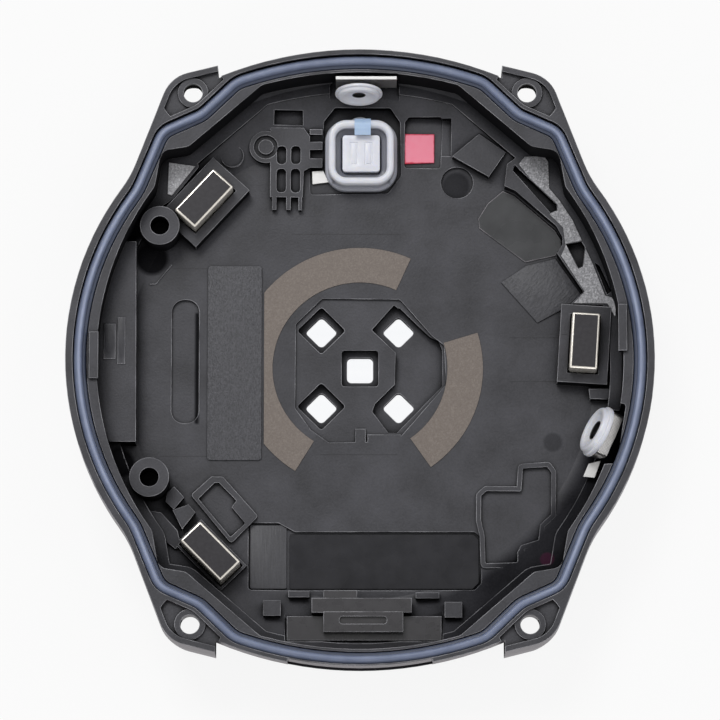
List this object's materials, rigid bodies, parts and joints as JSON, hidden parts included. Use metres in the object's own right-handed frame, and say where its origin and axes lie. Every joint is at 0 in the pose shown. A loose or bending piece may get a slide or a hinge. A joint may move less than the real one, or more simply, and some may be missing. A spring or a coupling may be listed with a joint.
{
  "type": "watch case back",
  "caption": "Rear cover of a round smartwatch: moulded tray with screw lugs, glass sensor window in a metal ring, seal, magnets, boots and films.",
  "frame": {"origin": "on the axis of the sensor window, at the outer face of its glass", "axes": "+Z from the skin side to the movement side, +Y to the twelve o'clock strap"},
  "size_m": [0.046, 0.0491, 0.0072],
  "materials": {
    "shell_plastic": "fine satin paint outside, bare black moulding inside",
    "seal_silicone": "soft blue-grey silicone",
    "lens_glass": "polished",
    "black_print": "screen print",
    "adhesive": "bonding film",
    "polished_ring": "polished",
    "magnet_plating": "bright nickel plating",
    "dark_film": "smooth film",
    "clear_silicone": "translucent silicone",
    "blue_tab": "thin tab",
    "steel_sheet": "bright sheet",
    "steel_mesh": "woven wire",
    "white_membrane": "breathable membrane",
    "red_paper": "matte paper",
    "bronze_plating": "matte plating",
    "tape_fabric": "woven tape",
    "conductive_strip": "conductive cloth with a fine sparkle",
    "bracket_plastic": "smooth moulding"
  },
  "bodies": {
    "root": {"rear_shell": "shell_plastic", "perimeter_seal": "seal_silicone", "sensor_lens": "lens_glass", "lens_print": "black_print", "lens_adhesive": "adhesive", "lens_ring": "polished_ring", "magnet_upper_left": "magnet_plating", "magnet_lower_left": "magnet_plating", "magnet_right": "magnet_plating", "magnet_film_upper_left": "dark_film", "magnet_film_lower_left": "dark_film", "magnet_film_right": "dark_film", "sensor_boot": "clear_silicone", "sensor_boot_cap": "clear_silicone", "sensor_boot_tab": "blue_tab", "boot_clip": "steel_sheet", "vent_membrane": "white_membrane", "moisture_indicator": "red_paper", "upper_port_boot": "clear_silicone", "upper_port_plate": "steel_sheet", "side_port_boot": "clear_silicone", "side_port_mesh": "steel_mesh", "side_port_clip": "steel_sheet", "plated_arc_left": "bronze_plating", "plated_arc_right": "bronze_plating", "battery_tape": "tape_fabric", "small_tape": "tape_fabric", "side_tape": "tape_fabric", "label_film": "dark_film", "window_film": "dark_film", "ground_strip": "conductive_strip", "ground_patch": "conductive_strip", "lower_bracket": "bracket_plastic"}
  },
  "joints": []
}
